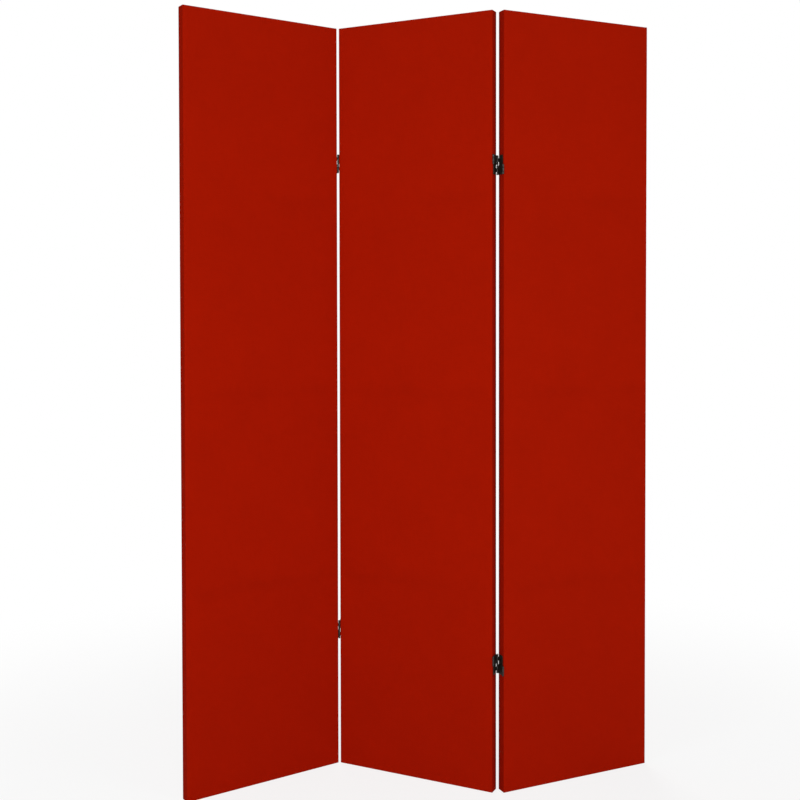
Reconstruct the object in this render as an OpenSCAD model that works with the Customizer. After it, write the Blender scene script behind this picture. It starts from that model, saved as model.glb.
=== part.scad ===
// Three-panel canvas room divider. Each panel is a doweled wood frame with canvas stretched
// round it, and two-way hinges join the panels, which stand in a shallow zigzag.
// X runs along the screen, -Y is the front and Z is up. The origin is on the floor,
// under the centre of the middle panel.

/* [Panels] */
// Width of each panel over its canvas
panel_w = 400; // [300:5:600]
// Height of each panel over its canvas
panel_h = 1800; // [1500:10:2200]
// Thickness of each panel over its canvas
panel_t = 25; // [22:1:40]

/* [Stance] */
// Turn of the middle panel from the line of the screen, in degrees
middle_turn = 26; // [0:0.5:60]
// Fold between the left and middle panels, in degrees: 0 is flat, 180 is closed
left_fold = 60; // [0:0.5:180]
// Fold between the middle and right panels, in degrees: 0 is flat, 180 is closed
right_fold = 51; // [0:0.5:180]

/* [Frames] */
// Width of a stile, seen from the front
stile_w = 38; // [32:1:60]
// Height of the top and bottom rails, seen from the front
end_rail_h = 38; // [32:1:60]
// Height of the three middle rails, seen from the front
mid_rail_h = 45; // [28:1:60]
// Diameter of the dowels that join rails to stiles
dowel_d = 8; // [5:0.5:9]
// Length of a dowel
dowel_len = 40; // [20:1:56]
// Distance between the two dowels of a joint
dowel_pitch = 16; // [12:1:18]
// Radial clearance of a dowel in its hole
dowel_play = 0.05; // [0.02:0.01:0.1]
// Room for glue past each end of a dowel
dowel_end_room = 0.5; // [0.3:0.1:2]

/* [Canvas] */
// Thickness of the canvas
canvas_t = 0.8; // [0.6:0.1:1.2]
// Width of the front canvas turned in over the back of the frame
turn_in = 32; // [30:1:36]
// Distance that the back canvas stops short of the panel's edges
back_inset = 2; // [1:0.5:6]

/* [Staples] */
// Width of a staple's crown
staple_w = 12; // [8:1:14]
// Length of a staple's legs
staple_leg = 6; // [4:0.5:6.5]
// Width of the staple wire, across the crown
staple_wire_w = 1.2; // [0.8:0.1:1.6]
// Thickness of the staple wire
staple_wire_t = 0.5; // [0.3:0.1:0.5]
// Distance of the staples from the panel's edge
staple_line = 24; // [22:0.5:27]
// Distance of the first staple from each corner
staple_first = 90; // [75:5:120]
// Greatest distance between two staples of a row
staple_pitch = 210; // [120:10:300]
// Clearance round a staple in its slots
staple_play = 0.05; // [0.02:0.01:0.1]

/* [Hinges] */
// Height of a hinge
hinge_h = 45; // [36:1:80]
// Gap between two panels when they stand in line
hinge_gap = 5; // [4.8:0.1:10]
// Thickness of the hinge plates and links
plate_t = 0.8; // [0.6:0.1:0.9]
// Distance of a plate's edges from the front and back of the panel
plate_inset = 4.5; // [2:0.1:5]
// Radius of a plate's corners
plate_corner = 2; // [0.5:0.1:3]
// Clearance between a knuckle and the panels' edges when the panels stand in line
knuckle_room = 0.2; // [0.1:0.05:0.7]
// Diameter of the hinge pins
pin_d = 2; // [1.2:0.1:2.2]
// Radial clearance of a pin in the knuckle that turns on it
pin_play = 0.05; // [0.02:0.01:0.1]
// Radial clearance of a pin in the link's knuckles, which hold it
pin_grip = 0.02; // [0.01:0.01:0.04]
// Distance of a hinge axis in front of, or behind, the panel's face
axis_proud = 0.5; // [0.3:0.1:1.5]
// Gap between two knuckles, one above the other
knuckle_gap = 0.3; // [0.2:0.1:0.6]
// Height of the plate's knuckle in each half of a hinge, between the link's two
plate_knuckle_h = 9.2; // [5:0.1:12]
// Gap between a hinge's top link and its bottom link
link_gap = 0.7; // [0.3:0.1:3]
// Clearance between a link and the plates beside it when the panels stand in line
link_room = 0.2; // [0.1:0.05:0.4]
// Distance that a link's cut-out for a plate's arm starts behind the plate's edge
arm_room = 1; // [0.6:0.1:2]
// Clearance between a plate's knuckle and the link's cut-out behind it
notch_room = 0.4; // [0.3:0.1:1]
// Centre of the left fold's upper hinge below the panel's top
left_upper_drop = 328; // [250:1:450]
// Centre of the left fold's lower hinge above the floor
left_lower_rise = 331; // [250:1:450]
// Centre of the right fold's upper hinge below the panel's top
right_upper_drop = 351; // [250:1:450]
// Centre of the right fold's lower hinge above the floor
right_lower_rise = 295; // [250:1:450]

/* [Hinge screws] */
// Diameter of a screw's shank
screw_d = 3; // [2:0.1:4]
// Length of a screw, head included
screw_len = 18; // [10:1:20]
// Diameter of a screw's countersunk head
screw_head_d = 5.8; // [4.4:0.1:6.4]
// Height of a screw's countersunk head
screw_head_h = 1.6; // [1.2:0.1:2]
// Radial clearance of a screw in its hole
screw_play = 0.05; // [0.02:0.01:0.1]
// Distance of the screws from the plate's long edges
screw_side = 4; // [3.8:0.1:5]
// Distance of the screws from the plate's top and bottom
screw_end = 6; // [4:0.5:8]
// Width of the cross slot in a screw's head
slot_w = 0.7; // [0.4:0.1:1]
// Length of each arm of the cross slot
slot_len = 3.4; // [2:0.1:4]
// Depth of the cross slot
slot_depth = 0.8; // [0.4:0.1:1.1]

/* [Hidden] */
$fn = 64;

red_canvas = [0.60, 0.08, 0.01];
pale_wood = [0.80, 0.66, 0.46];
dowel_wood = [0.72, 0.55, 0.35];
black_steel = [0.07, 0.07, 0.07];
bare_steel = [0.60, 0.60, 0.62];

// A panel is drawn about its own centre line: X across it, -Y to the front, Z up from the floor.
left = -1;
right = 1;
bottom = -1;
top = 1;

// The frame lies behind one layer of canvas and in front of two.
frame_t = panel_t - 3 * canvas_t;
frame_y = -canvas_t / 2;
turned_y = panel_t / 2 - canvas_t;
stile_x = panel_w / 2 - canvas_t - stile_w / 2;
rail_len = panel_w - 2 * canvas_t - 2 * stile_w;
bottom_rail_z = canvas_t + end_rail_h / 2;
top_rail_z = panel_h - bottom_rail_z;

// The three middle rails are centred on the quarters of the panel's height.
lower_mid_z = panel_h / 4;
centre_mid_z = panel_h / 2;
upper_mid_z = panel_h - lower_mid_z;
rail_heights = [bottom_rail_z, lower_mid_z, centre_mid_z, upper_mid_z, top_rail_z];

// The hinge axes stand in the gap, level with the front faces and the back faces.
axis_x = (panel_w + hinge_gap) / 2;
axis_y = panel_t / 2 + axis_proud;
knuckle_r = hinge_gap / 2 - knuckle_room;
pin_r = pin_d / 2;
left_hinges = [left_lower_rise, panel_h - left_upper_drop];
right_hinges = [right_lower_rise, panel_h - right_upper_drop];
no_hinges = [];

// A hinge is drawn flat about the centre of the gap. Its upper half holds one link, its lower half
// the other, and each half has three knuckles in a column at the front and at the back.
plate_w = panel_t - 2 * plate_inset;
half_h = (hinge_h - link_gap) / 2;
half_bottom = link_gap / 2;
link_knuckle_h = (half_h - plate_knuckle_h) / 2 - knuckle_gap;
link_knuckles = [half_bottom, half_bottom + half_h - link_knuckle_h];
plate_knuckle = half_bottom + link_knuckle_h + knuckle_gap;
plate_x = -hinge_gap / 2;
strap_x = max(-knuckle_r, plate_x + plate_t + link_room);
over = 1;

// Where a row of staples puts its crowns along an edge of this length
function spots(length) =
    let (
        span = length - 2 * staple_first,
        steps = max(1, ceil(span / staple_pitch))
    )
    [for (i = [0:steps]) staple_first + i * span / steps];

module on_middle() {
    rotate(-middle_turn) children();
}

module on_left() {
    on_middle()
        translate([-axis_x, -axis_y, 0])
            rotate(left_fold)
                translate([-axis_x, axis_y, 0]) children();
}

module on_right() {
    on_middle()
        translate([axis_x, axis_y, 0])
            rotate(right_fold)
                translate([axis_x, -axis_y, 0]) children();
}

module block(size, at) {
    translate(at) cube(size, center = true);
}

// One screw, or its hole when it grows, pointing along +Z from the face of its head
module screw_shape(grow = 0) {
    cylinder(h = screw_head_h, d1 = screw_head_d + 2 * grow, d2 = screw_d + 2 * grow);
    cylinder(h = screw_len + grow, d = screw_d + 2 * grow);
}

module cross_slot() {
    for (turn = [0, 90])
        rotate(turn) block([slot_len, slot_w, 2 * slot_depth], [0, 0, 0]);
}

// The four places of a left plate's screws, which point into the panel on its left
module at_plate_screws() {
    for (y = [-1, 1], z = [-1, 1])
        translate([
            plate_x + plate_t,
            y * (plate_w / 2 - screw_side),
            z * (hinge_h / 2 - screw_end)
        ])
            rotate([0, -90, 0]) children();
}

module screw_holes() {
    at_plate_screws() screw_shape(screw_play);
}

module screws() {
    at_plate_screws()
        difference() {
            screw_shape();
            cross_slot();
        }
}

// What is on a left plate, turned over to be the same on a right plate
module turned_over() {
    rotate([0, 180, 0]) children();
}

// The holes of every hinge screw in one edge of a panel
module edge_screw_holes(side, heights) {
    for (z = heights)
        translate([side * axis_x, 0, z])
            rotate([0, side == right ? 0 : 180, 0]) screw_holes();
}

// One staple, or its slots when it grows, with its crown along Z and its legs towards the front
module staple(grow = 0) {
    crown = [staple_wire_w + 2 * grow, staple_wire_t + grow, staple_w + 2 * grow];
    leg = [staple_wire_w + 2 * grow, staple_leg + grow, staple_wire_t + 2 * grow];
    translate([0, turned_y, 0]) {
        block(crown, [0, -crown[1] / 2, 0]);
        for (z = [-1, 1])
            block(leg, [0, -leg[1] / 2, z * (staple_w - staple_wire_t) / 2]);
    }
}

module stile_staples(side, grow = 0) {
    for (z = spots(panel_h))
        translate([side * (panel_w / 2 - staple_line), 0, z]) staple(grow);
}

module rail_staples(level, grow = 0) {
    z = level == top ? panel_h - staple_line : staple_line;
    for (x = spots(panel_w))
        translate([x - panel_w / 2, 0, z])
            rotate([0, 90, 0]) staple(grow);
}

// The dowels of one joint, along X and centred on the joint
module joint_dowels(side, height, grow = 0, room = 0) {
    for (z = [-1, 1])
        translate([side * rail_len / 2, frame_y, height + z * dowel_pitch / 2])
            rotate([0, 90, 0])
                cylinder(h = dowel_len + 2 * room, d = dowel_d + 2 * grow, center = true);
}

module stile(side, heights) {
    color(pale_wood)
        difference() {
            block([stile_w, frame_t, panel_h - 2 * canvas_t],
                [side * stile_x, frame_y, panel_h / 2]);
            for (z = rail_heights)
                joint_dowels(side, z, dowel_play, dowel_end_room);
            stile_staples(side, staple_play);
            edge_screw_holes(side, heights);
        }
}

module rail(height, rail_h) {
    color(pale_wood)
        difference() {
            block([rail_len, frame_t, rail_h], [0, frame_y, height]);
            for (side = [left, right])
                joint_dowels(side, height, dowel_play, dowel_end_room);
        }
}

module end_rail(level) {
    difference() {
        rail(level == top ? top_rail_z : bottom_rail_z, end_rail_h);
        rail_staples(level, staple_play);
    }
}

module dowels() {
    color(dowel_wood)
        for (side = [left, right], z = rail_heights)
            joint_dowels(side, z);
}

// The front canvas covers the front and the four edges and is turned in over the back.
module front_canvas(left_heights, right_heights) {
    inside = [panel_w - 2 * canvas_t, frame_t, panel_h - 2 * canvas_t];
    window = [panel_w - 2 * turn_in, panel_t, panel_h - 2 * turn_in];
    rebate = [panel_w - 2 * canvas_t, panel_t, panel_h - 2 * canvas_t];
    color(red_canvas)
        difference() {
            block([panel_w, panel_t, panel_h], [0, 0, panel_h / 2]);
            block(inside, [0, frame_y, panel_h / 2]);
            block(window, [0, panel_t / 2, panel_h / 2]);
            block(rebate, [0, turned_y + panel_t / 2, panel_h / 2]);
            for (side = [left, right])
                stile_staples(side, staple_play);
            for (level = [bottom, top])
                rail_staples(level, staple_play);
            edge_screw_holes(left, left_heights);
            edge_screw_holes(right, right_heights);
        }
}

module back_canvas() {
    color(red_canvas)
        block([panel_w - 2 * back_inset, canvas_t, panel_h - 2 * back_inset],
            [0, (panel_t - canvas_t) / 2, panel_h / 2]);
}

module staples() {
    color(bare_steel) {
        for (side = [left, right])
            stile_staples(side);
        for (level = [bottom, top])
            rail_staples(level);
    }
}

// One knuckle's ring, or its bore, on the front axis (-1) or the back axis (1)
module knuckle(end, z, h) {
    translate([0, end * axis_y, z])
        cylinder(h = h, r = knuckle_r);
}

module knuckle_bore(end, z, h, play) {
    translate([0, end * axis_y, z - over])
        cylinder(h = h + 2 * over, r = pin_r + play);
}

// The slanted arm that carries a left plate's front knuckle
module knuckle_arm() {
    root_y = plate_w / 2 - plate_t;
    translate([0, 0, plate_knuckle])
        linear_extrude(plate_knuckle_h)
            polygon([
                [plate_x, -root_y],
                [plate_x, -plate_w / 2],
                [-knuckle_r, -axis_y],
                [plate_t - knuckle_r, -axis_y],
                [plate_x + plate_t, -root_y]
            ]);
}

// A left plate's knuckle and its arm, at the front of the upper half
module front_knuckle() {
    difference() {
        union() {
            knuckle_arm();
            knuckle(-1, plate_knuckle, plate_knuckle_h);
        }
        knuckle_bore(-1, plate_knuckle, plate_knuckle_h, pin_play);
    }
}

// The flat of a left plate, with round corners
module plate_flat() {
    translate([plate_x, 0, 0]) {
        block([plate_t, plate_w - 2 * plate_corner, hinge_h], [plate_t / 2, 0, 0]);
        block([plate_t, plate_w, hinge_h - 2 * plate_corner], [plate_t / 2, 0, 0]);
        for (y = [-1, 1], z = [-1, 1])
            translate([0, y * (plate_w / 2 - plate_corner), z * (hinge_h / 2 - plate_corner)])
                rotate([0, 90, 0]) cylinder(h = plate_t, r = plate_corner);
    }
}

// A left plate has its other knuckle at the back of the lower half.
module left_plate() {
    color(black_steel)
        difference() {
            union() {
                plate_flat();
                front_knuckle();
                rotate([180, 0, 0]) front_knuckle();
            }
            screw_holes();
        }
}

// A cut-out between a link's two knuckles, from y_start to y_end
module link_notch(y_start, y_end) {
    translate([strap_x - over, y_start, plate_knuckle - knuckle_gap])
        cube([plate_t + 2 * over, y_end - y_start, plate_knuckle_h + 2 * knuckle_gap]);
}

// The top link joins the left plate's front knuckle to the right plate's back knuckle.
// The left plate's arm lies beside its strap, so the cut-out at the front is the longer one.
module top_link() {
    strap_end = axis_y + knuckle_r;
    color(black_steel)
        difference() {
            union() {
                translate([strap_x, -axis_y, half_bottom])
                    cube([plate_t, 2 * axis_y, half_h]);
                for (end = [-1, 1], z = link_knuckles)
                    knuckle(end, z, link_knuckle_h);
            }
            for (end = [-1, 1], z = link_knuckles)
                knuckle_bore(end, z, link_knuckle_h, pin_grip);
            link_notch(-strap_end, arm_room - plate_w / 2);
            link_notch(axis_y - knuckle_r - notch_room, strap_end);
        }
}

module top_pins() {
    color(bare_steel)
        for (end = [-1, 1])
            translate([0, end * axis_y, half_bottom])
                cylinder(h = half_h, r = pin_r);
}

// Puts a hinge piece at the right edge (1) or the left edge (-1) of the panel that it moves with
module on_edge(side, height) {
    translate([side * axis_x, 0, height]) children();
}

module left_panel_left_stile() {
    on_left() stile(left, no_hinges);
}
module left_panel_right_stile() {
    on_left() stile(right, left_hinges);
}
module left_panel_top_rail() {
    on_left() end_rail(top);
}
module left_panel_upper_mid_rail() {
    on_left() rail(upper_mid_z, mid_rail_h);
}
module left_panel_centre_mid_rail() {
    on_left() rail(centre_mid_z, mid_rail_h);
}
module left_panel_lower_mid_rail() {
    on_left() rail(lower_mid_z, mid_rail_h);
}
module left_panel_bottom_rail() {
    on_left() end_rail(bottom);
}
module left_panel_dowels() {
    on_left() dowels();
}
module left_panel_front_canvas() {
    on_left() front_canvas(no_hinges, left_hinges);
}
module left_panel_back_canvas() {
    on_left() back_canvas();
}
module left_panel_staples() {
    on_left() staples();
}

module middle_panel_left_stile() {
    on_middle() stile(left, left_hinges);
}
module middle_panel_right_stile() {
    on_middle() stile(right, right_hinges);
}
module middle_panel_top_rail() {
    on_middle() end_rail(top);
}
module middle_panel_upper_mid_rail() {
    on_middle() rail(upper_mid_z, mid_rail_h);
}
module middle_panel_centre_mid_rail() {
    on_middle() rail(centre_mid_z, mid_rail_h);
}
module middle_panel_lower_mid_rail() {
    on_middle() rail(lower_mid_z, mid_rail_h);
}
module middle_panel_bottom_rail() {
    on_middle() end_rail(bottom);
}
module middle_panel_dowels() {
    on_middle() dowels();
}
module middle_panel_front_canvas() {
    on_middle() front_canvas(left_hinges, right_hinges);
}
module middle_panel_back_canvas() {
    on_middle() back_canvas();
}
module middle_panel_staples() {
    on_middle() staples();
}

module right_panel_left_stile() {
    on_right() stile(left, right_hinges);
}
module right_panel_right_stile() {
    on_right() stile(right, no_hinges);
}
module right_panel_top_rail() {
    on_right() end_rail(top);
}
module right_panel_upper_mid_rail() {
    on_right() rail(upper_mid_z, mid_rail_h);
}
module right_panel_centre_mid_rail() {
    on_right() rail(centre_mid_z, mid_rail_h);
}
module right_panel_lower_mid_rail() {
    on_right() rail(lower_mid_z, mid_rail_h);
}
module right_panel_bottom_rail() {
    on_right() end_rail(bottom);
}
module right_panel_dowels() {
    on_right() dowels();
}
module right_panel_front_canvas() {
    on_right() front_canvas(right_hinges, no_hinges);
}
module right_panel_back_canvas() {
    on_right() back_canvas();
}
module right_panel_staples() {
    on_right() staples();
}

// The left fold turns about the front axis: its top links move with the middle panel
// and its bottom links with the left panel.
module left_hinge_left_plate(level) {
    on_left() on_edge(right, left_hinges[level]) left_plate();
}
module left_hinge_right_plate(level) {
    on_middle() on_edge(left, left_hinges[level]) turned_over() left_plate();
}
module left_hinge_top_link(level) {
    on_middle() on_edge(left, left_hinges[level]) top_link();
}
module left_hinge_bottom_link(level) {
    on_left() on_edge(right, left_hinges[level]) turned_over() top_link();
}
module left_lower_hinge_left_plate() {
    left_hinge_left_plate(0);
}
module left_upper_hinge_left_plate() {
    left_hinge_left_plate(1);
}
module left_lower_hinge_right_plate() {
    left_hinge_right_plate(0);
}
module left_upper_hinge_right_plate() {
    left_hinge_right_plate(1);
}
module left_lower_hinge_top_link() {
    left_hinge_top_link(0);
}
module left_upper_hinge_top_link() {
    left_hinge_top_link(1);
}
module left_lower_hinge_bottom_link() {
    left_hinge_bottom_link(0);
}
module left_upper_hinge_bottom_link() {
    left_hinge_bottom_link(1);
}
module left_hinge_top_pins() {
    for (z = left_hinges)
        on_middle() on_edge(left, z) top_pins();
}
module left_hinge_bottom_pins() {
    for (z = left_hinges)
        on_left() on_edge(right, z) turned_over() top_pins();
}
module left_hinge_left_screws() {
    color(black_steel)
        for (z = left_hinges)
            on_left() on_edge(right, z) screws();
}
module left_hinge_right_screws() {
    color(black_steel)
        for (z = left_hinges)
            on_middle() on_edge(left, z) turned_over() screws();
}

// The right fold turns about the back axis: its top links move with the middle panel
// and its bottom links with the right panel.
module right_hinge_left_plate(level) {
    on_middle() on_edge(right, right_hinges[level]) left_plate();
}
module right_hinge_right_plate(level) {
    on_right() on_edge(left, right_hinges[level]) turned_over() left_plate();
}
module right_hinge_top_link(level) {
    on_middle() on_edge(right, right_hinges[level]) top_link();
}
module right_hinge_bottom_link(level) {
    on_right() on_edge(left, right_hinges[level]) turned_over() top_link();
}
module right_lower_hinge_left_plate() {
    right_hinge_left_plate(0);
}
module right_upper_hinge_left_plate() {
    right_hinge_left_plate(1);
}
module right_lower_hinge_right_plate() {
    right_hinge_right_plate(0);
}
module right_upper_hinge_right_plate() {
    right_hinge_right_plate(1);
}
module right_lower_hinge_top_link() {
    right_hinge_top_link(0);
}
module right_upper_hinge_top_link() {
    right_hinge_top_link(1);
}
module right_lower_hinge_bottom_link() {
    right_hinge_bottom_link(0);
}
module right_upper_hinge_bottom_link() {
    right_hinge_bottom_link(1);
}
module right_hinge_top_pins() {
    for (z = right_hinges)
        on_middle() on_edge(right, z) top_pins();
}
module right_hinge_bottom_pins() {
    for (z = right_hinges)
        on_right() on_edge(left, z) turned_over() top_pins();
}
module right_hinge_left_screws() {
    color(black_steel)
        for (z = right_hinges)
            on_middle() on_edge(right, z) screws();
}
module right_hinge_right_screws() {
    color(black_steel)
        for (z = right_hinges)
            on_right() on_edge(left, z) turned_over() screws();
}

left_panel_left_stile();
left_panel_right_stile();
left_panel_top_rail();
left_panel_upper_mid_rail();
left_panel_centre_mid_rail();
left_panel_lower_mid_rail();
left_panel_bottom_rail();
left_panel_dowels();
left_panel_front_canvas();
left_panel_back_canvas();
left_panel_staples();
middle_panel_left_stile();
middle_panel_right_stile();
middle_panel_top_rail();
middle_panel_upper_mid_rail();
middle_panel_centre_mid_rail();
middle_panel_lower_mid_rail();
middle_panel_bottom_rail();
middle_panel_dowels();
middle_panel_front_canvas();
middle_panel_back_canvas();
middle_panel_staples();
right_panel_left_stile();
right_panel_right_stile();
right_panel_top_rail();
right_panel_upper_mid_rail();
right_panel_centre_mid_rail();
right_panel_lower_mid_rail();
right_panel_bottom_rail();
right_panel_dowels();
right_panel_front_canvas();
right_panel_back_canvas();
right_panel_staples();
left_upper_hinge_left_plate();
left_upper_hinge_right_plate();
left_upper_hinge_top_link();
left_upper_hinge_bottom_link();
left_lower_hinge_left_plate();
left_lower_hinge_right_plate();
left_lower_hinge_top_link();
left_lower_hinge_bottom_link();
left_hinge_top_pins();
left_hinge_bottom_pins();
left_hinge_left_screws();
left_hinge_right_screws();
right_upper_hinge_left_plate();
right_upper_hinge_right_plate();
right_upper_hinge_top_link();
right_upper_hinge_bottom_link();
right_lower_hinge_left_plate();
right_lower_hinge_right_plate();
right_lower_hinge_top_link();
right_lower_hinge_bottom_link();
right_hinge_top_pins();
right_hinge_bottom_pins();
right_hinge_left_screws();
right_hinge_right_screws();
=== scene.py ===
# %% [markdown]
# # A folding screen of stretched canvas
#
# Three tall panels stand in a zigzag. Each is a doweled wooden frame with red canvas pulled
# round it, and pairs of black two-way hinges join one panel to the next.
# The solid model already holds every rigid piece at its true size and place. This lesson keeps
# those pieces where they are, gives them real finishes, and replaces the plain canvas solids
# with cloth that wraps, folds and sinks between the bars of its frame.

# %% Load the solid model
import math

import bmesh
import bpy
import numpy as np
from mathutils import Matrix, Vector, noise


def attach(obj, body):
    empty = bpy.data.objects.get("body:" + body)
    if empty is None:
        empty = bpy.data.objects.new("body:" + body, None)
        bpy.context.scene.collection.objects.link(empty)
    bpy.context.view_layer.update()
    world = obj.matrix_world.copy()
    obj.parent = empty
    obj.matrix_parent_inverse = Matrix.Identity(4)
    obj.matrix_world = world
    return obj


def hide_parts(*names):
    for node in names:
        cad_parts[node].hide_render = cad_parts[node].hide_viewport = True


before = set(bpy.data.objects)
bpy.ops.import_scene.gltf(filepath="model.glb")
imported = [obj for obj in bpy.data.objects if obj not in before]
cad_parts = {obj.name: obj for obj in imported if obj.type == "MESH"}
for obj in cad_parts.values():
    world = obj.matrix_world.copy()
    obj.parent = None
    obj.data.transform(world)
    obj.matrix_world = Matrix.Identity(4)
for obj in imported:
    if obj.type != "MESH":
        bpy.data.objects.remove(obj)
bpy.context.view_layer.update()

# %% [markdown]
# ## Where the panels stand
#
# Cloth is easiest to draw upright about a panel's own centre line: x across it, -y to the front
# and z up from the floor. So each panel's turn and centre are measured from its solids first,
# and the finished cloth is stood there by one matrix.
# The turn is the direction in which the flat back canvas is longest, seen from above.

# %% Measure the panels
PANELS = ["left_panel", "middle_panel", "right_panel"]
RAILS = ["bottom_rail", "lower_mid_rail", "centre_mid_rail", "upper_mid_rail", "top_rail"]
MM = 0.001


def points_of(node):
    """The corners of a solid, as rows of x, y and z."""
    return np.array([v.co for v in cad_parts[node].data.vertices], float)


def span(points, axis):
    return points[:, axis].min(), points[:, axis].max()


class Panel:
    """How one panel stands, and the sizes that its cloth has to follow."""

    def __init__(self, name):
        self.name = name
        plan = points_of(name + "_back_canvas")[:, :2]
        across = np.linalg.svd(plan - plan.mean(axis=0), full_matrices=False)[2][0]
        self.turn = math.atan(across[1] / across[0])
        straighten = np.array(Matrix.Rotation(-self.turn, 3, "Z"))
        skin = points_of(name + "_front_canvas") @ straighten.T
        low, high = skin.min(axis=0), skin.max(axis=0)
        self.half_w, self.half_t = (high[:2] - low[:2]) / 2
        self.height = high[2]
        middle = Vector(((low[0] + high[0]) / 2, (low[1] + high[1]) / 2, 0))
        self.stand = Matrix.Rotation(self.turn, 4, "Z") @ Matrix.Translation(middle)
        stile = points_of(name + "_right_stile") @ straighten.T
        self.stile_inside = self.half_w - (high[0] - span(stile, 0)[0])
        self.rails = [span(points_of(f"{name}_{rail}"), 2) for rail in RAILS]


panels = {name: Panel(name) for name in PANELS}
for name, panel in panels.items():
    print(name, "turn", round(math.degrees(panel.turn), 1), "half width", round(panel.half_w, 4))

# %% [markdown]
# ## Shader sums in plain Python
#
# A finish is mostly arithmetic on numbers that vary over a surface. Wiring Math nodes by hand
# hides the sum, so a small class wraps a socket and turns +, -, * and the rest into nodes.
# Every other node comes from one method: its type, then its settings, then its sockets.
# Colours are mixed and vectors scaled by their own nodes, because a Math node would turn them
# grey.
# Each finish below starts with its numbers. Scales, and those that end in ACROSS or ALONG, count
# details a metre, so a larger one is finer. A SHADE, ROUGH or MATT is a share of the darkening or
# the roughness. A DEPTH is how far the bumps stand out, in metres.

# %% A socket that can be added, multiplied and compared
class Signal:
    """One output of a node. Sums on it add Math nodes."""

    def __init__(self, nodes, socket):
        self.nodes = nodes
        self.socket = socket

    def __getitem__(self, output):
        return Signal(self.nodes, self.socket.node.outputs[output])

    def math(self, operation, *others):
        inputs = dict(enumerate((self, *others)))
        return self.nodes.add("ShaderNodeMath", {"operation": operation}, inputs)

    def __add__(self, other):
        return self.math("ADD", other)

    __radd__ = __add__

    def __sub__(self, other):
        return self.math("SUBTRACT", other)

    def __rsub__(self, other):
        return self * -1 + other

    def __mul__(self, other):
        return self.math("MULTIPLY", other)

    __rmul__ = __mul__

    def __truediv__(self, other):
        return self.math("DIVIDE", other)

    def __pow__(self, other):
        return self.math("POWER", other)

    def __abs__(self):
        return self.math("ABSOLUTE")

    def __gt__(self, other):
        return self.math("GREATER_THAN", other)


# %% Nodes that are added one by one, and a material made of them
MIX_FACTOR, MIX_A, MIX_B, MIX_COLOUR = 0, 6, 7, 2


class Nodes:
    """A tree of nodes, and the sums between them."""

    def __init__(self, tree):
        self.tree = tree

    def add(self, kind, settings=None, inputs=None, output=0):
        """Adds a node: its settings first, then the values or links of its sockets."""
        node = self.tree.nodes.new(kind)
        for name, value in (settings or {}).items():
            setattr(node, name, value)
        for key, value in (inputs or {}).items():
            self.feed(node.inputs[key], value)
        return Signal(self, node.outputs[output])

    def feed(self, socket, value):
        if isinstance(value, Signal):
            self.tree.links.new(value.socket, socket)
        else:
            socket.default_value = value

    def own(self, node, output):
        """An output of a node that every new tree starts with."""
        return Signal(self, self.tree.nodes[node].outputs[output])

    def noise(self, place, scale, detail=2.0, roughness=0.5):
        inputs = {"Vector": place, "Scale": scale, "Detail": detail, "Roughness": roughness}
        return self.add("ShaderNodeTexNoise", {}, inputs)

    def stretch(self, place, factors):
        settings = {"operation": "MULTIPLY"}
        return self.add("ShaderNodeVectorMath", settings, {0: place, 1: factors})

    def blend(self, factor, start, end):
        """A colour between two others."""
        inputs = {MIX_FACTOR: factor, MIX_A: start, MIX_B: end}
        return self.add("ShaderNodeMix", {"data_type": "RGBA"}, inputs, MIX_COLOUR)

    def bump(self, height, distance, strength=1.0):
        inputs = {"Strength": strength, "Distance": distance, "Height": height}
        return self.add("ShaderNodeBump", {}, inputs)


class Finish(Nodes):
    """A material, whose nodes end in one Principled shader."""

    def __init__(self, name):
        self.material = bpy.data.materials.new(name)
        self.material.use_nodes = True
        super().__init__(self.material.node_tree)
        self.shader = self.tree.nodes["Principled BSDF"]

    def surface(self, **sockets):
        """Sets the shader's sockets; Base_Color stands for Base Color."""
        for name, value in sockets.items():
            self.feed(self.shader.inputs[name.replace("_", " ")], value)
        return self.material


def rgb(red, green, blue):
    """A colour in linear light, with its alpha."""
    return (red, green, blue, 1.0)


# %% [markdown]
# ## Red canvas
#
# Screen canvas is a plain weave of cotton threads about 0.7 mm apart, dyed a deep orange red and
# quite matt. Threads are never even: some are thicker for a few centimetres, and the dye takes
# a little more here and there.
# The weave has to run round the panel's edges without a break, so it isn't drawn in space.
# The cloth meshes carry their own flat coordinates, in metres, as they lay on the cutting table.
# A product of two sines is positive where the upright thread is on top and negative where the
# other one is, which gives the height of a plain weave in one short sum.
# A second value on the mesh says how much lighter or darker its colour is painted: along the rails
# partly a rub mark, partly painted shade and a painted lighter band, and on the wrapped sides
# painted shade.

# %% Mix the canvas
CLOTH_PLACE = "cloth_place"
RUB_AND_LIGHT = "rub"
THREAD = 0.7 * MM
DRIFT_SCALE, DRIFT_THREADS = 70.0, 0.5
SLUB_ACROSS, SLUB_ALONG = 900.0, 22.0
DYE_SCALE, DYE_DETAIL, DYE_ROUGH = 9.0, 4.0, 0.6
THREAD_SHADE, SLUB_SHADE, DYE_SHADE, LEAST_SHADE = 0.5, 0.35, 0.18, 0.04
SLUB_HEIGHT = 0.5
WEAVE_DEPTH, WEAVE_STRENGTH = 0.16 * MM, 0.8
MATT, SLUB_MATT = 0.86, 0.12
CANVAS_GLOSS = 0.02
LIT_RED, DEEP_RED = rgb(0.458, 0.0105, 0.0004), rgb(0.208, 0.0039, 0.0001)


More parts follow.
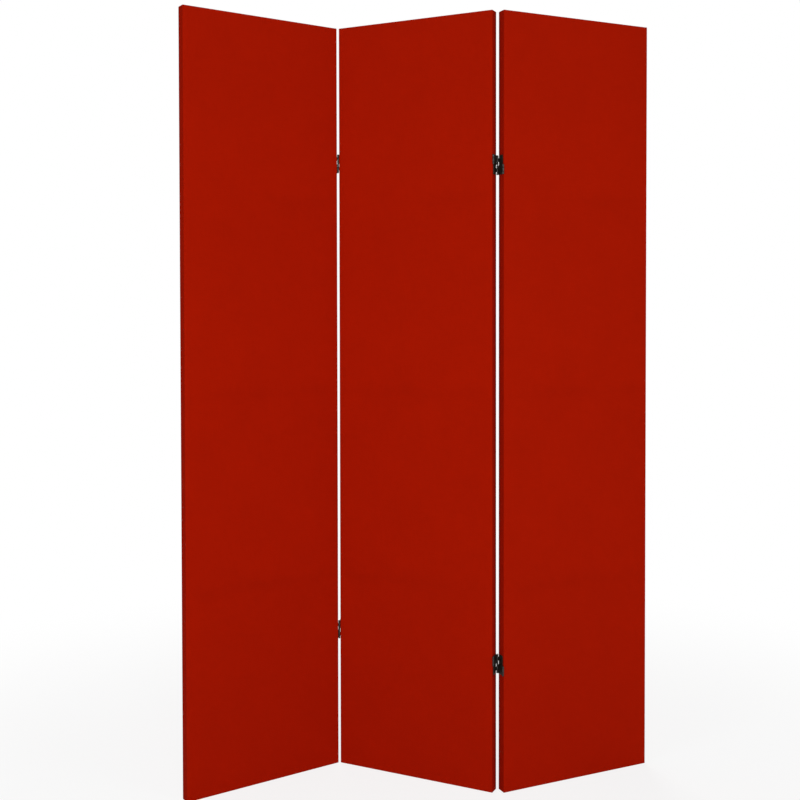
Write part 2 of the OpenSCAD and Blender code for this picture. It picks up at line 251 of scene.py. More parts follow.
def weave(canvas, place):
    """How high the top thread stands, and a mask that is 1 where that is the upright one."""
    drift = canvas.noise(place, DRIFT_SCALE)
    flat = canvas.add("ShaderNodeSeparateXYZ", {}, {0: place})
    across = (flat / THREAD + drift * DRIFT_THREADS) * math.pi
    along = (flat["Y"] / THREAD + drift * DRIFT_THREADS) * math.pi
    warp_wave = across.math("SINE")
    weft_wave = along.math("SINE")
    crossing = warp_wave * weft_wave
    warp = abs(warp_wave) * (1 + crossing)
    weft = abs(weft_wave) * (1 - crossing)
    return warp.math("MAXIMUM", weft) * 0.5, crossing > 0


def canvas_finish(name, light_red, dark_red):
    canvas = Finish(name)
    place = canvas.add("ShaderNodeAttribute", {"attribute_name": CLOTH_PLACE}, output="Vector")
    thread_height, warp_on_top = weave(canvas, place)
    warp_slub = canvas.noise(canvas.stretch(place, (SLUB_ACROSS, SLUB_ALONG, 1.0)), 1.0)
    weft_slub = canvas.noise(canvas.stretch(place, (SLUB_ALONG, SLUB_ACROSS, 1.0)), 1.0)
    slub = warp_on_top * (warp_slub - weft_slub) + weft_slub
    dye = canvas.noise(place, DYE_SCALE, DYE_DETAIL, DYE_ROUGH)
    # Rub marks along the rails with painted shade, a painted lighter band above each, and painted
    # shade on the wrapped sides.
    rubbed_and_lit = canvas.add("ShaderNodeAttribute", {"attribute_name": RUB_AND_LIGHT}, output="Fac")
    # The lower a thread dips in the weave, the darker its colour: painted shade between the
    # threads.
    shade = thread_height * THREAD_SHADE + slub * SLUB_SHADE + dye * DYE_SHADE
    shade = shade + LEAST_SHADE + rubbed_and_lit
    height = thread_height + slub * SLUB_HEIGHT
    return canvas.surface(
        Base_Color=canvas.blend(shade, dark_red, light_red),
        Roughness=MATT + slub * SLUB_MATT,
        Normal=canvas.bump(height, WEAVE_DEPTH, WEAVE_STRENGTH),
        Specular_IOR_Level=CANVAS_GLOSS,
    )


red_canvas = canvas_finish("Red canvas", LIT_RED, DEEP_RED)
print("canvas finish has", len(red_canvas.node_tree.nodes), "nodes")

# %% [markdown]
# ## Pine and beech
#
# The frames are planed pine and the dowels turned beech, unfinished under the canvas. Growth rings
# are cylinders round the pith of the tree, so a board shows them as long stripes. The sum takes
# the distance from a pith line that runs along the board, well outside it, and lets noise bend
# the rings. Boards of one panel share a turn, and uprights and rails differ only in which way
# is along, so one function makes all of them.

# %% Saw the wood
GRAIN_ALONG, GRAIN_ACROSS = 1.3, 26.0
FIBRE_ALONG, FIBRE_ACROSS = 14.0, 900.0
PITH_SIDE, PITH_DEPTH = 0.31, 0.043
BENT_RINGS, LATE_WOOD_POWER = 3, 3
LATE_SHADE, FIBRE_SHADE = 0.6, 0.4
LATE_HEIGHT = 0.3
WOOD_ROUGH, FIBRE_ROUGH = 0.55, 0.25
FIBRE_DEPTH, FIBRE_STRENGTH = 0.1 * MM, 0.5
WOOD_GLOSS = 0.3


def board_scales(upright, along, across):
    """Scales in x, y and z for a pattern that is stretched along the board."""
    return (across, across, along) if upright else (along, across, across)


def wood_finish(name, turn, upright, ring_gap, pale, dark):
    wood = Finish(name)
    place = wood.add("ShaderNodeTexCoord", {}, {}, "Object")
    inputs = {"Vector": place, "Angle": -turn}
    level = wood.add("ShaderNodeVectorRotate", {"rotation_type": "Z_AXIS"}, inputs)
    grain_scales = board_scales(upright, GRAIN_ALONG, GRAIN_ACROSS)
    fibre_scales = board_scales(upright, FIBRE_ALONG, FIBRE_ACROSS)
    bend = wood.noise(wood.stretch(level, grain_scales), 1.0, detail=3.0)
    fibre = wood.noise(wood.stretch(level, fibre_scales), 1.0, roughness=0.6)
    axes = wood.add("ShaderNodeSeparateXYZ", {}, {0: level})
    side = axes if upright else axes["Z"]
    radius = ((side - PITH_SIDE) ** 2 + (axes["Y"] + PITH_DEPTH) ** 2) ** 0.5
    rings = (radius / ring_gap + bend * BENT_RINGS).math("FRACT")
    late_wood = rings ** LATE_WOOD_POWER
    shade = late_wood * LATE_SHADE + fibre * FIBRE_SHADE
    return wood.surface(
        Base_Color=wood.blend(shade, pale, dark),
        Roughness=WOOD_ROUGH + fibre * FIBRE_ROUGH,
        Normal=wood.bump(fibre - late_wood * LATE_HEIGHT, FIBRE_DEPTH, FIBRE_STRENGTH),
        Specular_IOR_Level=WOOD_GLOSS,
    )


PINE = rgb(0.62, 0.42, 0.21), rgb(0.36, 0.18, 0.06)
BEECH = rgb(0.50, 0.31, 0.16), rgb(0.30, 0.16, 0.07)
BOARDS = {
    "stile": ("Pine upright", True, 2.6 * MM, PINE),
    "rail": ("Pine rail", False, 3.1 * MM, PINE),
    "dowels": ("Beech dowel", False, 0.9 * MM, BEECH),
}


def woods_of(panel):
    """The finishes of one panel's wood, by the last word of a node's name."""
    title = panel.name.replace("_", " ")
    return {
        ending: wood_finish(f"{board}, {title}", panel.turn, upright, ring_gap, *colours)
        for ending, (board, upright, ring_gap, colours) in BOARDS.items()
    }


panel_woods = {name: woods_of(panel) for name, panel in panels.items()}
print("wood finishes:", sum(len(woods) for woods in panel_woods.values()))

# %% [markdown]
# ## Black enamel, screws, pins and staples
#
# The hinges are stamped steel under a thin satin enamel. Handling thins the enamel along the
# edges, where brown-grey steel starts to show, and leaves it slightly uneven between them.
# A Bevel node finds the edges: near one, its softened normal no longer agrees with the true one.
# Pins and staples are bare drawn wire, with fine streaks along it and a little tarnish.

# %% Mix the metals
BEVEL_SAMPLES = 4
EDGE_CONTRAST = 6
EDGE_REACH = 0.45 * MM
PATCH_SCALE, GRIT_SCALE = 450.0, 2600.0
PATCH_WEAR, GRIT_WEAR, WEAR_STARTS = 0.8, 0.6, 0.35
PATCH_ROUGH, GRIT_ROUGH = 0.18, 0.06
PATCH_HEIGHT = 0.6
ENAMEL_DEPTH, ENAMEL_STRENGTH = 0.05 * MM, 0.35
BARE_METAL, ENAMEL_GLOSS = 0.8, 0.5
TARNISH_SCALE, STREAK_ROUGH = 300.0, 0.2
STREAK_DEPTH, STREAK_STRENGTH = 0.03 * MM, 0.4


def edge_mask(metal, reach):
    """1 on an edge, and 0 on a face further from it than reach."""
    soft = metal.add("ShaderNodeBevel", {"samples": BEVEL_SAMPLES}, {"Radius": reach})
    true = metal.add("ShaderNodeNewGeometry", {}, {}, "Normal")
    settings = {"operation": "DOT_PRODUCT"}
    agreement = metal.add("ShaderNodeVectorMath", settings, {0: soft, 1: true}, "Value")
    return ((1 - agreement) * EDGE_CONTRAST).math("MINIMUM", 1.0)


def enamel_finish(name, black, worn, wear, roughness):
    enamel = Finish(name)
    place = enamel.add("ShaderNodeTexCoord", {}, {}, "Object")
    patches = enamel.noise(place, PATCH_SCALE, detail=3.0, roughness=0.6)
    grit = enamel.noise(place, GRIT_SCALE, roughness=0.6)
    uneven = patches * PATCH_WEAR + grit * GRIT_WEAR
    chips = (edge_mask(enamel, EDGE_REACH) * uneven - WEAR_STARTS) * wear
    bare = chips.math("MAXIMUM", 0.0).math("MINIMUM", 1.0)
    height = grit + patches * PATCH_HEIGHT
    return enamel.surface(
        Base_Color=enamel.blend(bare, black, worn),
        Roughness=roughness + patches * PATCH_ROUGH + grit * GRIT_ROUGH,
        Metallic=bare * BARE_METAL,
        Normal=enamel.bump(height, ENAMEL_DEPTH, ENAMEL_STRENGTH),
        Specular_IOR_Level=ENAMEL_GLOSS,
    )


def steel_finish(name, light, dark, roughness, streaks):
    steel = Finish(name)
    place = steel.add("ShaderNodeTexCoord", {}, {}, "Object")
    drawn = steel.noise(steel.stretch(place, streaks), 1.0, detail=3.0, roughness=0.6)
    tarnish = steel.noise(place, TARNISH_SCALE, detail=3.0, roughness=0.6)
    return steel.surface(
        Base_Color=steel.blend(tarnish, dark, light),
        Roughness=roughness + drawn * STREAK_ROUGH,
        Metallic=1.0,
        Normal=steel.bump(drawn, STREAK_DEPTH, STREAK_STRENGTH),
    )


BROWN_STEEL = rgb(0.16, 0.12, 0.09)
PIN_STREAKS, STAPLE_STREAKS = (2500.0, 2500.0, 60.0), (3000.0, 3000.0, 900.0)
WARM_BLACK, COOL_BLACK = rgb(0.012, 0.010, 0.007), rgb(0.014, 0.013, 0.013)
PIN_LIGHT, PIN_DARK = rgb(0.24, 0.22, 0.20), rgb(0.08, 0.07, 0.065)
WIRE_LIGHT, WIRE_DARK = rgb(0.66, 0.67, 0.69), rgb(0.42, 0.43, 0.45)

hinge_enamel = enamel_finish("Hinge enamel", WARM_BLACK, BROWN_STEEL, wear=2.2, roughness=0.26)
screw_black = enamel_finish("Screw black", COOL_BLACK, BROWN_STEEL, wear=3.0, roughness=0.30)
pin_steel = steel_finish("Pin steel", PIN_LIGHT, PIN_DARK, 0.28, PIN_STREAKS)
staple_wire = steel_finish("Staple wire", WIRE_LIGHT, WIRE_DARK, 0.22, STAPLE_STREAKS)
METALS = {"staples": staple_wire, "pins": pin_steel, "screws": screw_black,
          "plate": hinge_enamel, "link": hinge_enamel}
print("metal parts with a finish:", ", ".join(METALS))

# %% [markdown]
# ## Dressing the solids that stay
#
# Frames, dowels, staples, plates, links, pins and screws keep their solids and only get a
# finish. Small bevel modifiers round the stamped edges of the hinge metal and the planed edges
# of the wood, which the meshes leave perfectly sharp. Their corners are welded for it first,
# because the loaded meshes are split along every crease. A modifier leaves the solid's own mesh
# as it was.

# %% Give every solid its finish
SOFTENED = {"plate": 0.18 * MM, "link": 0.18 * MM, "screws": 0.12 * MM, "rail": 1.0 * MM,
            "stile": 1.0 * MM}
WELD_REACH = 0.001 * MM
BEVEL_STEPS = 2
CREASE_DEG = 50


def by_ending(choices, node):
    """The choice whose name the node's name ends with, or None."""
    return next((choices[end] for end in choices if node.endswith(end)), None)


def soften(piece, width):
    weld = piece.modifiers.new("Weld", "WELD")
    weld.merge_threshold = WELD_REACH
    bevel = piece.modifiers.new("Softened edges", "BEVEL")
    bevel.width = width
    bevel.segments = BEVEL_STEPS
    bevel.limit_method = "ANGLE"
    bevel.angle_limit = math.radians(CREASE_DEG)
    bevel.harden_normals = True


dressed = 0
for node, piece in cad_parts.items():
    home = next((name for name in PANELS if node.startswith(name)), None)
    finish = by_ending({**panel_woods.get(home, {}), **METALS}, node)
    if finish is None:
        continue
    piece.data.materials.clear()
    piece.data.materials.append(finish)
    width = by_ending(SOFTENED, node)
    if width is not None:
        soften(piece, width)
    dressed += 1
print("solids dressed:", dressed)

# %% [markdown]
# ## How taut canvas really lies
#
# Stretched canvas isn't a perfect plane. It lies on the wood of the stiles and rails and sinks
# about a millimetre between them. The upper edge of each rail shows as a faint darker line with a
# lighter band above it. Part of that is the slope of the cloth. The rest is painted into its
# colour: the line partly as a rub mark and partly as painted shade, the band as painted light.
# Both are worked out from the rails' own heights, so they always follow the frame.
# Over the wood the cloth may sink by a hair only, or the wood would come through it.

# %% Work out the sink of the cloth
FAST_SINK, FAST_REACH = 0.45 * MM, 12 * MM
SLOW_SINK, SLOW_REACH = 0.75 * MM, 110 * MM
MEETS_RAIL = 120 * MM
RAIL_SINK, ON_RAIL = 0.3 * MM, 9 * MM
LEAVES_STILE = 60 * MM
EDGE_HOLD = 7 * MM
RIPPLE = 0.05 * MM
RIPPLES_ACROSS, RIPPLES_UP, RIPPLE_SEED = 9, 6, 20


def leaving(distance, reach):
    """0 at a support, rising towards 1 as the cloth leaves it."""
    return 1 - math.exp(-max(distance, 0.0) / reach)


def sink(panel, x, z):
    """How far the cloth lies behind the plane of the panel's face."""
    edge = min(panel.half_w - abs(x), z, panel.height - z)
    on_wood = RAIL_SINK * leaving(edge, EDGE_HOLD)
    for low, high in panel.rails:
        if low <= z <= high:
            return on_wood * leaving(high - z, ON_RAIL)
    above = next(low for low, high in panel.rails if low > z)
    below = next(high for low, high in reversed(panel.rails) if high < z)
    bay = FAST_SINK * leaving(z - below, FAST_REACH) + SLOW_SINK * leaving(z - below, SLOW_REACH)
    seed = panel.turn * RIPPLE_SEED
    ripple = RIPPLE * noise.noise(Vector((x * RIPPLES_ACROSS, z * RIPPLES_UP, seed)))
    near_rail = math.exp(-(above - z) / MEETS_RAIL)
    free = leaving(panel.stile_inside - abs(x), LEAVES_STILE)
    return free * ((bay + ripple) * (1 - near_rail) + on_wood * near_rail)


# %% Work out where the cloth rubs, and where light and shade are painted on it
RUB_AND_SHADE_LINES, PAINTED_LIGHT_BAND = (-0.03, -0.03, -0.012), 0.03
LINE_WIDTH = 11 * MM
LINE_BELOW = LINE_WIDTH / 3
BAND_START, BAND_FADE = 26 * MM, 260 * MM
PATCHY, PATCHES_ACROSS, PATCHES_UP, PATCH_SEED = 0.7, 7, 3, 31
RUB_AND_LIGHT_EDGE = 20 * MM


def rub(panel, x, z):
    """How much darker (below 0) or lighter the cloth is painted near the rails: a line that is
    partly a rub mark and partly painted shade, and a band of painted light above it.
    """
    spot = Vector((x * PATCHES_ACROSS, z * PATCHES_UP, panel.turn * PATCH_SEED))
    patchy = 1 + PATCHY * noise.noise(spot)
    total = 0.0
    for line, (low, high) in zip(RUB_AND_SHADE_LINES, panel.rails[1:-1]):
        up = z - high
        # A darker line along the rail's upper edge: partly a rub mark, partly painted shade.
        total += line * math.exp(-((up + LINE_BELOW) / LINE_WIDTH) ** 2)
        # Above it, a lighter band that fades upwards: painted light.
        if up > 0:
            fade = math.exp(-up / BAND_FADE)
            total += PAINTED_LIGHT_BAND * (1 - math.exp(-((up / BAND_START) ** 2))) * fade
    inside = leaving(panel.half_w - abs(x), RUB_AND_LIGHT_EDGE)
    return total * patchy * inside


sample = panels["middle_panel"]
for z in (0.44, 0.47, 0.50, 0.60, 0.80):
    depth, shade = sink(sample, 0, z) / MM, rub(sample, 0, z)
    print("at", z, "m up: sink", round(depth, 2), "mm, rub", round(shade, 3))

# %% [markdown]
# ## Wrapping the front canvas
#
# The maker lays the frame face down on a cut of canvas, pulls it round the four edges, and turns
# it in over the back. That is one sheet, so it is drawn as one skin. It starts as a grid over the
# face. From the grid's rim, a ring of points is carried round the front edge, across the
# thickness, round the back edge, and in over the back, on a path that is the same all the way
# round. The rim's corner points fan out into a small arc, so that the upright corners come out
# round too.
# Across the thickness the cloth is pressed in by a hair, so that it stays under the hinge plates
# and doesn't show in the slots of their screws. Past the face's rim its colour is also a shade
# darker: painted shade, where the sides turn away from the light.
# A Solidify modifier then gives the skin its thickness, inwards.

# %% Lay out the rings
CLOTH = 0.45 * MM
EDGE_ROUND = 1.0 * MM
EDGE_PRESSED = 0.05 * MM
TURN_IN = 32 * MM
BACK_LAYER = 0.8 * MM
PAINTED_SIDE_SHADE = -0.14
ARC_STEPS = 4
EDGE_STEPS = 6
TURN_IN_STEPS = 4
CORNER_STEPS = 3


def steps(start, end, count):
    return [start + (end - start) * i / count for i in range(count + 1)]


def wrap_path(panel):
    """Stations from the face to the turned-in rim: how far in from the outline, and y."""
    front = -panel.half_t
    back = panel.half_t - BACK_LAYER
    r = EDGE_ROUND
    quarter = steps(0, math.pi / 2, ARC_STEPS)[1:]
    path = [(r - r * math.sin(a), front + r - r * math.cos(a)) for a in quarter]
    path += [(EDGE_PRESSED, y) for y in steps(front + r, back - r, EDGE_STEPS)[1:]]
    path += [(r - r * math.cos(a), back - r + r * math.sin(a)) for a in quarter]
    path += [(inset, back) for inset in steps(r, TURN_IN, TURN_IN_STEPS)[1:]]
    return path


def rim(panel, xs, zs, inset):
    """A closed ring of points round the panel, and which way each is carried over the edge."""
    half = panel.half_w - max(inset, EDGE_ROUND)
    low = max(inset, EDGE_ROUND)
    high = panel.height - low
    bend = max(EDGE_ROUND - inset, 0.0)
    x_scale = half / xs[-1]
    z_middle = panel.height / 2
    z_scale = (high - z_middle) / (zs[-1] - z_middle)
    sides = [
        ([(x * x_scale, low) for x in xs], (0, -1)),
        ([(half, z_middle + (z - z_middle) * z_scale) for z in zs], (1, 0)),
        ([(x * x_scale, high) for x in reversed(xs)], (0, 1)),
        ([(-half, z_middle + (z - z_middle) * z_scale) for z in reversed(zs)], (-1, 0)),
    ]
    ring = []
    for points, (out_x, out_z) in sides:
        ring += [(x + out_x * bend, z + out_z * bend, out_x, out_z) for x, z in points]
        x, z = points[-1]
        start = math.atan2(out_z, out_x)
        for turn in steps(0, math.pi / 2, CORNER_STEPS)[1:-1]:
            way_x = math.cos(start + turn)
            way_z = math.sin(start + turn)
            ring.append((x + way_x * bend, z + way_z * bend, way_x, way_z))
    return ring


print("rings round a panel:", len(wrap_path(sample)))

# %% [markdown]
# A grid over the face and the rings round it share one way of adding a point. Each point keeps
# its flat coordinates, which come from how far it has travelled over the edge. On the face they
# are simply x and z. Past an edge, the distance travelled is added in its direction.

# %% Draw a grid of cloth
ROW = 7.5 * MM
COLUMN = 14 * MM
CLOSEST_LINES = 0.8 * MM


def cloth_layers(mesh):
    """The two values that every cloth mesh carries: its flat coordinates, and its rub marks with
    their painted light and shade.
    """
    layers = mesh.verts.layers
    return layers.float_vector.new(CLOTH_PLACE), layers.float.new(RUB_AND_LIGHT)


def cloth_point(mesh, place, flat, shade):
    """Adds one point, with both its values."""
    layers = mesh.verts.layers
    point = mesh.verts.new(place)
    point[layers.float_vector[CLOTH_PLACE]] = (*flat, 0)
    point[layers.float[RUB_AND_LIGHT]] = shade
    return point


def grid_lines(start, end, spacing, extra):
    """Evenly spaced lines, with one more at each place in extra."""
    count = max(2, round((end - start) / spacing))
    lines = steps(start, end, count)
    lines += [v for v in extra if start < v < end]
    clear = []
    for v in sorted(lines):
        if not clear or v - clear[-1] > CLOSEST_LINES:
            clear.append(v)
    clear[-1] = end
    return clear


def cloth_lines(panel, inset):
    """The grid lines of a sheet that starts at inset from the panel's outline."""
    half = panel.half_w - inset
    xs = grid_lines(-half, half, COLUMN, [-panel.stile_inside, panel.stile_inside])
    rail_edges = [edge for rail in panel.rails for edge in rail]
    zs = grid_lines(inset, panel.height - inset, ROW, rail_edges)
    return xs, zs


def add_grid(mesh, xs, zs, point_at, from_behind=False):
    """Points on a grid, from a function of x and z, and the faces between them."""
    grid = {(i, j): point_at(x, z) for i, x in enumerate(xs) for j, z in enumerate(zs)}
    for i in range(len(xs) - 1):
        for j in range(len(zs) - 1):
            corners = [(i, j), (i + 1, j), (i + 1, j + 1), (i, j + 1)]
            if from_behind:
                corners = corners[:1] + corners[:0:-1]
            mesh.faces.new([grid[corner] for corner in corners])
    return grid


columns, rows = cloth_lines(sample, EDGE_ROUND)
print("grid over a face:", len(columns), "by", len(rows), "points")

# %% Build the skin
PLEAT = 0.5 * MM


def face_rim(face, columns, rows):
    """The rim of the face's grid in the order of rim(), a corner once for each of its points."""
    sides = [
        [face[i, 0] for i in range(columns)],
        [face[columns - 1, j] for j in range(rows)],
        [face[i, rows - 1] for i in reversed(range(columns))],
        [face[0, j] for j in reversed(range(rows))],
    ]
    return [point for side in sides for point in side + [side[-1]] * (CORNER_STEPS - 1)]


def pleat_room(panel, y):
    """Over the top and bottom edges the single layer lies lower than the folded corners."""
    into = min(y + panel.half_t, panel.half_t - BACK_LAYER - y)
    return PLEAT * min(1.0, max(0.0, into / EDGE_ROUND))


def join_rings(mesh, inner, outer):
    """Faces between two rings. Round a corner that the inner ring repeats, they are triangles."""
    for i in range(len(inner)):
        k = (i + 1) % len(inner)
        corners = list(dict.fromkeys([inner[i], outer[i], outer[k], inner[k]]))
        if len(corners) > 2:
            mesh.faces.new(corners)


def add_skin(mesh, panel):
    """Adds the wrapped skin of one panel to a bmesh."""
    cloth_layers(mesh)
    front = -panel.half_t
    xs, zs = cloth_lines(panel, EDGE_ROUND)

    def face_point(x, z):
        return cloth_point(mesh, (x, front + sink(panel, x, z), z), (x, z), rub(panel, x, z))

    face = add_grid(mesh, xs, zs, face_point)
    previous = face_rim(face, len(xs), len(zs))
    starts = rim(panel, xs, zs, EDGE_ROUND)
    walked = 0.0
    old_inset, old_y = EDGE_ROUND, front
    for inset, y in wrap_path(panel):
        walked += math.hypot(inset - old_inset, y - old_y)
        old_inset, old_y = inset, y
        drop = pleat_room(panel, y)
        ring = []
        for (x, z, out_x, out_z), (from_x, from_z, *_) in zip(rim(panel, xs, zs, inset), starts):
            flat = (from_x + out_x * walked, from_z + out_z * walked)
            # Painted shade: past the face's rim the colour is a shade darker.
            shade = rub(panel, x, z) + PAINTED_SIDE_SHADE
            ring.append(cloth_point(mesh, (x, y, z - drop * out_z), flat, shade))
        join_rings(mesh, previous, ring)
        previous = ring


# %% Stand the cloth on its panel
def mesh_piece(mesh, name, panel):
    data = bpy.data.meshes.new(name)
    mesh.to_mesh(data)
    mesh.free()
    data.polygons.foreach_set("use_smooth", [True] * len(data.polygons))
    data.materials.append(red_canvas)
    piece = bpy.data.objects.new(name, data)
    piece.matrix_world = panel.stand
    bpy.context.scene.collection.objects.link(piece)
    return piece


def thicken(cloth, thickness):
    solid = cloth.modifiers.new("Cloth thickness", "SOLIDIFY")
    solid.thickness = thickness
    solid.offset = -1


def front_cloth(panel):
    mesh = bmesh.new()
    add_skin(mesh, panel)
    bmesh.ops.recalc_face_normals(mesh, faces=mesh.faces)
    skin = mesh_piece(mesh, panel.name + "_front_cloth", panel)
    thicken(skin, CLOTH)
    return skin


# %% [markdown]
# ## Folded corners
#
# At each corner the canvas has more cloth than it needs. The spare is folded flat and laid on the
# top or bottom edge of the panel, as a triangle of two layers whose fold runs at 45 degrees from
# the front corner. The four triangles of a panel are closed wedges in one mesh. Rounding their
# outer edges makes them read as rolled cloth and not as a chip of card.

# %% Fold the corners
FOLD_START = 0.8 * EDGE_ROUND
FOLD_OVERLAP = 0.3 * MM
FOLD_ROLL = 0.3 * MM
ROLL_STEPS = 3
ROUND_PROFILE = 0.5


def add_fold(mesh, panel, side, level):
    """One triangle: side is -1 left or 1 right, level is -1 bottom or 1 top."""
    reach = 2 * panel.half_t - BACK_LAYER - 2 * FOLD_START
    corner_x = side * (panel.half_w - FOLD_START)
    front = -panel.half_t + FOLD_START
    back = front + reach
    outline = [(corner_x, front), (corner_x, back), (corner_x - side * reach, back)]
    outer_z = panel.height * (level + 1) / 2
    inner_z = outer_z - level * (PLEAT + FOLD_OVERLAP)
    inner, outer = [[mesh.verts.new((x, y, z)) for x, y in outline] for z in (inner_z, outer_z)]
    lids = [mesh.faces.new(inner), mesh.faces.new(outer)]
    for i in range(len(outline)):
        k = (i + 1) % len(outline)
        mesh.faces.new([inner[i], inner[k], outer[k], outer[i]])
    bmesh.ops.recalc_face_normals(mesh, faces=mesh.faces)
    bmesh.ops.bevel(mesh, geom=lids[1].edges, offset=FOLD_ROLL, segments=ROLL_STEPS,
                    profile=ROUND_PROFILE, affect="EDGES")


def corner_folds(panel):
    mesh = bmesh.new()
    for side in (-1, 1):
        for level in (-1, 1):
            add_fold(mesh, panel, side, level)
    place, _ = cloth_layers(mesh)
    for point in mesh.verts:
        point[place] = (point.co.x, point.co.y + point.co.z, 0)
    return mesh_piece(mesh, panel.name + "_corner_folds", panel)


for panel in panels.values():
    skin = front_cloth(panel)
    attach(skin, panel.name)
    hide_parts(panel.name + "_front_canvas")
    folds = corner_folds(panel)
    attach(folds, panel.name)
    cut = [2 * (size + 2 * panel.half_t + TURN_IN) for size in (panel.half_w, panel.height / 2)]
    print(skin.name, "cut", [round(v, 3) for v in cut], "m,", len(skin.data.polygons), "faces")

# %% [markdown]
# ## The back canvas
#
# A second piece of canvas closes the back and hides the staples. Its edges are folded under, so it
# has a band of double thickness all round, with a soft step where the fold ends. The panel's own
# edges show as a hair of front canvas outside it. It is drawn on the same grid as the face, with
# the hem's own lines along its border.

# %% Hem the back canvas
BACK_INSET = 2 * MM
HEM = 12 * MM
HEM_STEP = 0.3 * MM
HEM_SOFT = 1.5 * MM
HEM_CLEAR = 2 * MM
PAST_HEM = 10 * MM
BACK_SINK, BACK_RUB_AND_LIGHT = 0.6, 0.5


def hem_path():
    """Stations across the hem: how far in from its outer fold, and y from its outer face."""
    r = BACK_LAYER
    quarter = steps(0, math.pi / 2, ARC_STEPS)
    path = [(r - r * math.cos(a), r * math.sin(a) - r) for a in quarter]
    path += [(HEM / 2, 0.0), (HEM - HEM_SOFT, 0.0)]
    path += [(HEM, -HEM_STEP / 2), (HEM + HEM_SOFT, -HEM_STEP)]
    return path


def border_lines(lines, insets):
    """Grid lines with the hem's own lines added at both ends, and nothing else inside the hem."""
    start, end = lines[0], lines[-1]
    clear = insets[-1] + HEM_CLEAR
    middle = [v for v in lines if start + clear < v < end - clear]
    return [start + i for i in insets] + middle + [end - i for i in reversed(insets)]


def back_cloth(panel):
    mesh = bmesh.new()
    cloth_layers(mesh)
    insets, drops = zip(*hem_path())
    xs, zs = [border_lines(lines, insets) for lines in cloth_lines(panel, BACK_INSET)]

    def back_point(x, z):
        inset = min(x - xs[0], xs[-1] - x, z - zs[0], zs[-1] - z)
        drop = np.interp(inset, insets, drops)
        drop -= BACK_SINK * sink(panel, x, z) * leaving(inset - HEM, PAST_HEM)
        place = (x, panel.half_t + drop, z)
        # The back carries the rail marks at half strength, with their painted light and shade.
        return cloth_point(mesh, place, (x, z), rub(panel, x, z) * BACK_RUB_AND_LIGHT)

    add_grid(mesh, xs, zs, back_point, from_behind=True)
    sheet = mesh_piece(mesh, panel.name + "_back_cloth", panel)
    thicken(sheet, BACK_LAYER / 2)
    return sheet


for panel in panels.values():
    sheet = back_cloth(panel)
    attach(sheet, panel.name)
    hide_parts(panel.name + "_back_canvas")
    cut = [2 * (size - BACK_INSET + HEM) for size in (panel.half_w, panel.height / 2)]
    print(sheet.name, "cut", [round(v, 3) for v in cut], "m,", len(sheet.data.polygons), "faces")

# %% [markdown]
# ## The floor
#
# A studio picture of a screen has a white surround. The floor is pale and takes the soft shadow
# of the panels. Away from the screen it fades, by its own coordinates, into the white of the
# surround, so that no horizon crosses the picture.
# The white is a glow that only the camera sees. Most of it is there under the screen too, so
# the shadow stays faint, and what bounces off the floor is still the light of plain pale paint.

# %% Lay the floor
FLOOR_RADIUS, FLOOR_SIDES = 9.0, 96
FADE_START, FADE_END = 0.7, 2.0
NEAR_WHITE = 0.82
SPECKLE_SCALE, SPECKLE_DETAIL, SPECKLE_ROUGH = 40.0, 4.0, 0.6
FLOOR_MATT, SPECKLE_MATT = 0.8, 0.1
FLOOR_GLOSS = 0.1
FLOOR_GREY, FLOOR_PALE = rgb(0.86, 0.86, 0.86), rgb(0.89, 0.89, 0.885)
WHITE = rgb(1, 1, 1)


def floor_finish():
    paint = Finish("Pale floor")
    place = paint.add("ShaderNodeTexCoord", {}, {}, "Object")
    distance = paint.add("ShaderNodeVectorMath", {"operation": "LENGTH"}, {0: place}, "Value")
    inputs = {"Value": distance, "From Min": FADE_START, "From Max": FADE_END,
              "To Min": NEAR_WHITE}
    fade = paint.add("ShaderNodeMapRange", {"interpolation_type": "SMOOTHSTEP"}, inputs)
    ray = paint.add("ShaderNodeLightPath", output="Is Camera Ray")
    speckle = paint.noise(place, SPECKLE_SCALE, SPECKLE_DETAIL, SPECKLE_ROUGH)
    paint.surface(
        Base_Color=paint.blend(speckle, FLOOR_GREY, FLOOR_PALE),
        Roughness=FLOOR_MATT + speckle * SPECKLE_MATT,
        Specular_IOR_Level=FLOOR_GLOSS,
    )
    glow = paint.add("ShaderNodeEmission", {}, {"Color": WHITE, "Strength": 1.0})
    body = paint.own("Principled BSDF", "BSDF")
    mixed = paint.add("ShaderNodeMixShader", {}, {0: fade * ray, 1: body, 2: glow})
    paint.feed(paint.tree.nodes["Material Output"].inputs["Surface"], mixed)
    return paint.material


bpy.ops.mesh.primitive_circle_add(vertices=FLOOR_SIDES, radius=FLOOR_RADIUS, fill_type="NGON")
floor = bpy.context.object
floor.name = "floor"
floor.data.materials.append(floor_finish())
print("floor of", FLOOR_RADIUS, "m radius, all white from", FADE_END, "m")

# %% [markdown]
# ## The light
#
# The main soft light in front hangs behind the camera. Two weak ones stand nearer, to the left
# and right. Each lights the panels that are turned to it, so that no panel is brighter at its
# near edge. A large one behind lights the back, and a weak one hangs above the top edges.
# The surround looks white to the camera but gives only a little light.

# %% Hang the softboxes
AIM = Vector((0.0, 0.0, 1.25))
SOFTBOXES = {
    "Left softbox": ((-1.7, -1.9, 1.5), 1.0, 1.0, 16.0),
    "Right softbox": ((2.3, -1.8, 1.5), 1.0, 1.0, 16.5),
    "Front softbox": ((0.27, -3.9, 1.3), 1.2, 1.2, 62.0),
    "Back softbox": ((-0.3, 3.6, 1.7), 2.2, 1.6, 90.0),
    "Top softbox": ((0.0, -0.1, 3.6), 1.8, 1.8, 11.0),
}


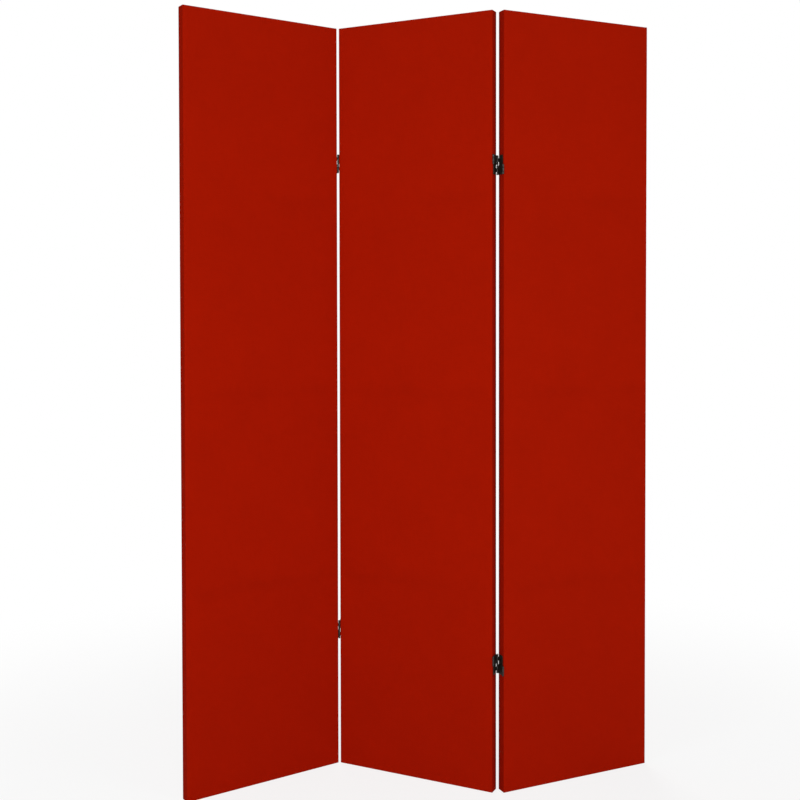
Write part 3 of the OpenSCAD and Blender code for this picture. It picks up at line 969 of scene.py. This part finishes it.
def hang_softbox(name, place, width, height, power):
    light = bpy.data.lights.new(name, "AREA")
    light.shape = "RECTANGLE"
    light.size = width
    light.size_y = height
    light.energy = power
    lamp = bpy.data.objects.new(name, light)
    lamp.location = place
    lamp.rotation_euler = (AIM - Vector(place)).to_track_quat("-Z", "Y").to_euler()
    lamp.visible_camera = False
    bpy.context.scene.collection.objects.link(lamp)


for name, (place, width, height, power) in SOFTBOXES.items():
    hang_softbox(name, place, width, height, power)
    print(name, "at", place, "m,", power, "W")

# %% Make the surround white
LOOKS, GIVES = 1.0, 0.22

surround = bpy.data.worlds.new("White surround")
surround.use_nodes = True
sky = Nodes(surround.node_tree)
given = sky.own("Background", 0)
for socket, value in {"Color": WHITE, "Strength": GIVES}.items():
    sky.feed(given.socket.node.inputs[socket], value)
seen = sky.add("ShaderNodeBackground", {}, {"Color": WHITE, "Strength": LOOKS})
ray = sky.add("ShaderNodeLightPath", output="Is Camera Ray")
either = sky.add("ShaderNodeMixShader", {}, {0: ray, 1: given, 2: seen})
sky.feed(sky.tree.nodes["World Output"].inputs["Surface"], either)
bpy.context.scene.world = surround
bpy.context.scene.view_settings.view_transform = "Standard"
print("the surround looks", LOOKS, "and gives", GIVES)

# %% [markdown]
# ## The camera
#
# The picture was taken from chest height, 2.7 m away and almost level. Its upright lines stay
# upright, which a camera gets by keeping level and shifting its lens instead of tilting.
# The values here are the real stance of that camera; the focal length is given first in pixels
# of an 800 pixel picture, and the picture's own centre of view lies a little above its middle.

# %% Place the camera
PICTURE_PX = 800
FOCAL_PX = 1128.1
VIEW_CENTRE_PX = 330
SENSOR_MM = 36
CAMERA_PLACE = (-0.0373, -2.6813, 1.1274)
PITCH_DEG = 1.261
ROLL_DEG = -0.091

lens = bpy.data.cameras.new("camera")
lens.sensor_width = SENSOR_MM
lens.lens = FOCAL_PX / PICTURE_PX * SENSOR_MM
lens.shift_y = (VIEW_CENTRE_PX - PICTURE_PX / 2) / PICTURE_PX
camera = bpy.data.objects.new("camera", lens)
tilt = Matrix.Rotation(math.radians(90 - PITCH_DEG), 4, "X")
roll = Matrix.Rotation(math.radians(ROLL_DEG), 4, "Z")
camera.matrix_world = Matrix.Translation(CAMERA_PLACE) @ tilt @ roll
bpy.context.scene.collection.objects.link(camera)
bpy.context.scene.camera = camera
print("lens", round(lens.lens, 1), "mm")
